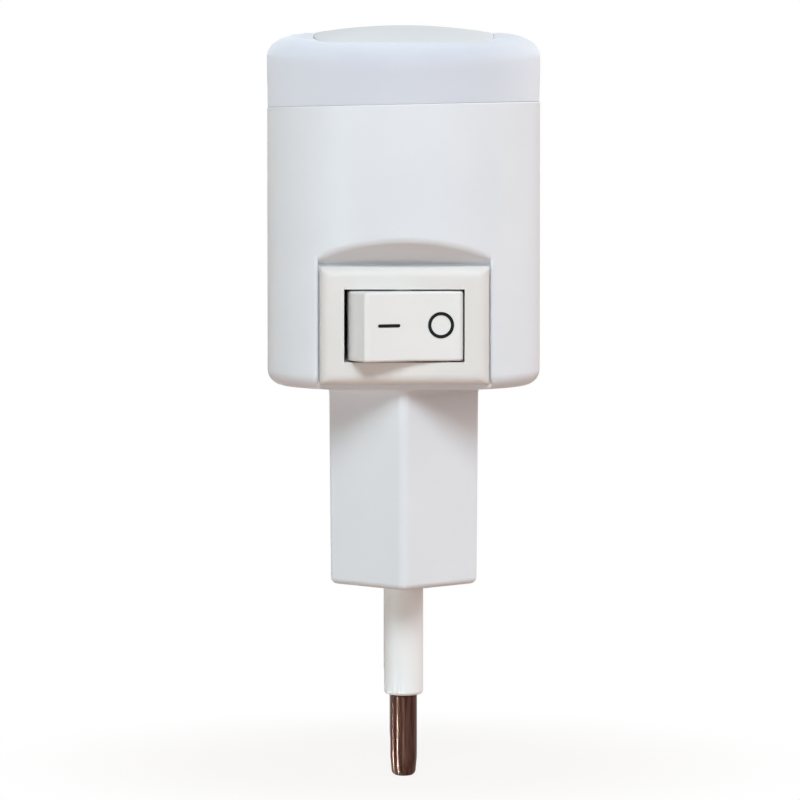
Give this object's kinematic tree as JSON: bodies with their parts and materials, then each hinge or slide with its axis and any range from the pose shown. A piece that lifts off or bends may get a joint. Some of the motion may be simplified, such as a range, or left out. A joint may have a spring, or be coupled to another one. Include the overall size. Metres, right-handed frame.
{
  "type": "plug-in night light",
  "caption": "Plug-in night light: oblong white shell on a two-pin plug neck, translucent cap with a domed lens, and a rocker switch in an arched pocket.",
  "frame": {"origin": "the plug's flat face, midway between the two pins", "axes": "+Z from the plug up to the cap, -Y towards the switch, the two pins in a row along Y and pointing down"},
  "size_m": [0.0264, 0.045, 0.0731],
  "materials": {
    "white_plastic": "satin moulded",
    "frosted_plastic": "translucent, cool white",
    "lens_plastic": "translucent, neutral white",
    "sleeve_plastic": "satin moulded",
    "pin_metal": "plated, worn along its length",
    "switch_plastic": "satin, warm white",
    "rocker_plastic": "satin",
    "black_print": "pad printed",
    "contact_brass": "stamped",
    "spring_steel": "drawn wire",
    "board_laminate": "solder mask",
    "led_phosphor": "white package with phosphor",
    "film_epoxy": "dipped epoxy",
    "can_sleeve": "shrunk sleeve",
    "black_epoxy": "moulded epoxy",
    "tan_lacquer": "lacquer",
    "blue_lacquer": "lacquer",
    "brown_insulation": "extruded",
    "red_insulation": "extruded",
    "blue_insulation": "extruded"
  },
  "bodies": {
    "light": {"housing": "white_plastic", "diffuser": "frosted_plastic", "top_lens": "lens_plastic", "front_sleeve": "sleeve_plastic", "rear_sleeve": "sleeve_plastic", "front_pin": "pin_metal", "rear_pin": "pin_metal", "switch_case": "switch_plastic", "centre_terminal": "contact_brass", "side_terminal": "contact_brass", "circuit_board": "board_laminate", "led_front": "led_phosphor", "led_middle": "led_phosphor", "led_rear": "led_phosphor", "film_capacitor": "film_epoxy", "smoothing_capacitor": "can_sleeve", "bridge_rectifier": "black_epoxy", "discharge_resistor": "tan_lacquer", "fuse_resistor": "blue_lacquer", "live_lead": "brown_insulation", "switched_lead": "red_insulation", "neutral_lead": "blue_insulation"},
    "rocker": {"rocker": "rocker_plastic", "dash_mark": "black_print", "ring_mark": "black_print", "plunger": "contact_brass", "plunger_spring": "spring_steel"},
    "lever": {"contact_lever": "contact_brass"}
  },
  "joints": [
    {"name": "rocker_tilt", "type": "hinge", "parent": "light", "child": "rocker", "pos_m": [0, -0.0185, 0.02545], "axis": [0, 0, -1], "range_deg": [0, 35]},
    {"name": "lever_tilt", "type": "hinge", "parent": "light", "child": "lever", "pos_m": [0, -0.0103, 0.02545], "axis": [0, 0, 1], "range_deg": [0, 18]}
  ],
  "couplings": [
    {"joint": "lever_tilt", "follows": "rocker_tilt", "ratio": 0.51429}
  ]
}
